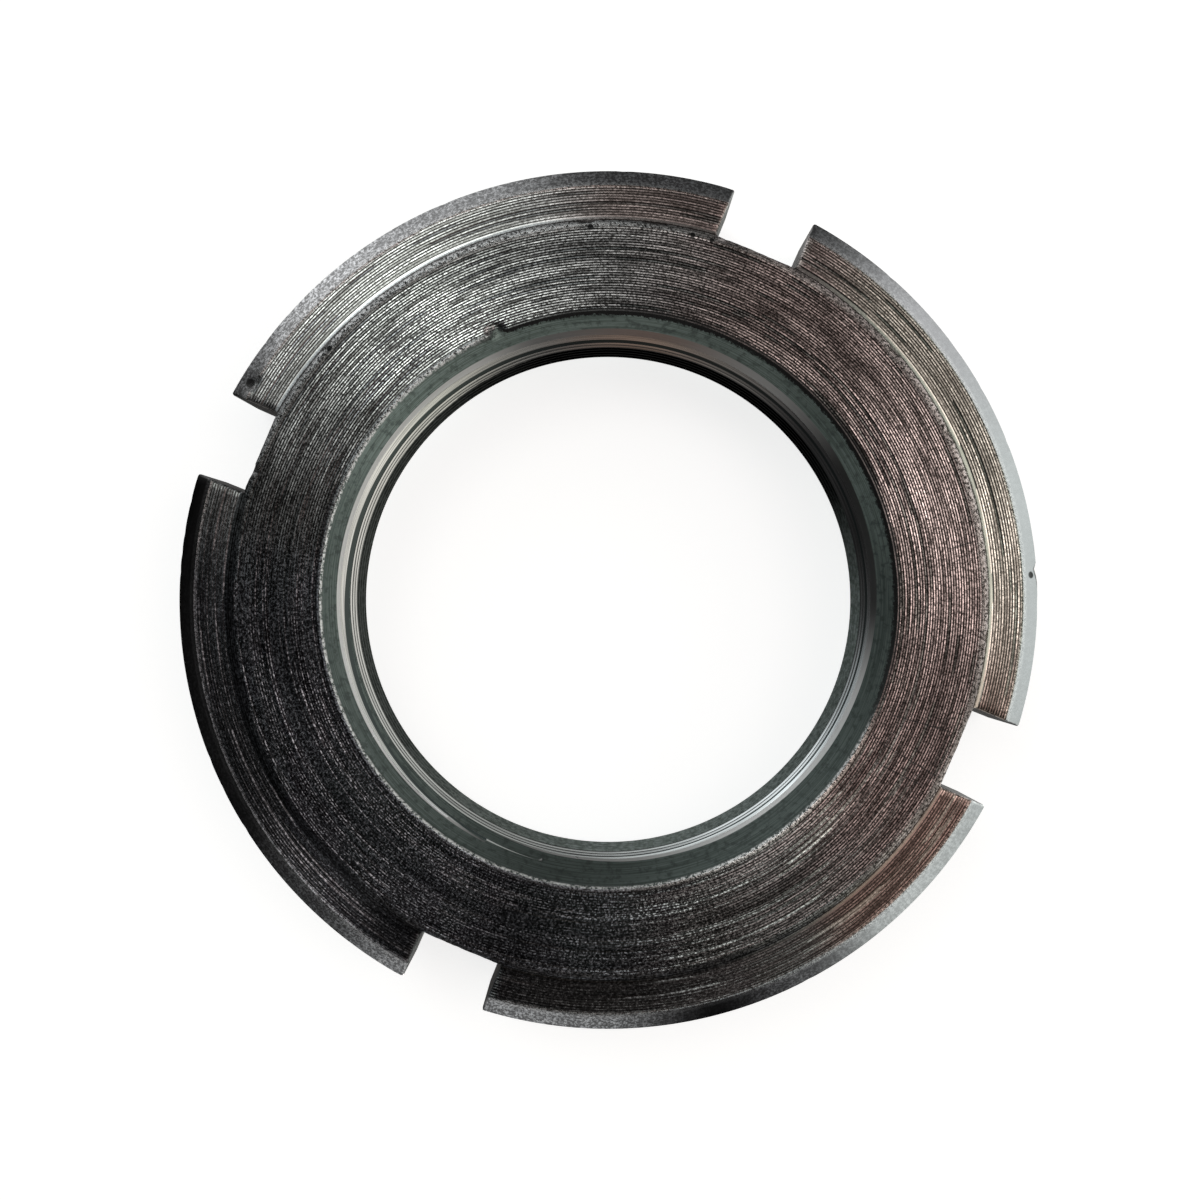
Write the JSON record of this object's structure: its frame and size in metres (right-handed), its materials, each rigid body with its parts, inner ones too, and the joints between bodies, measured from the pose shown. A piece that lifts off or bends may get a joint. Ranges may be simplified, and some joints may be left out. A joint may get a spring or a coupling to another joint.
{
  "type": "slotted round nut",
  "caption": "Slotted round lock nut: a turned steel ring with a raised bearing land, fine internal thread and square spanner slots in the rim.",
  "frame": {"origin": "centre of the back face, on the thread axis", "axes": "+Z along the thread axis, out of the raised bearing land; +X through one spanner slot"},
  "size_m": [0.0478, 0.0478, 0.01],
  "materials": {
    "dark_steel": "turned steel with dark, worn, slightly rusty surface film and bright edges"
  },
  "bodies": {
    "root": {"slotted_round_nut": "dark_steel"}
  },
  "joints": []
}
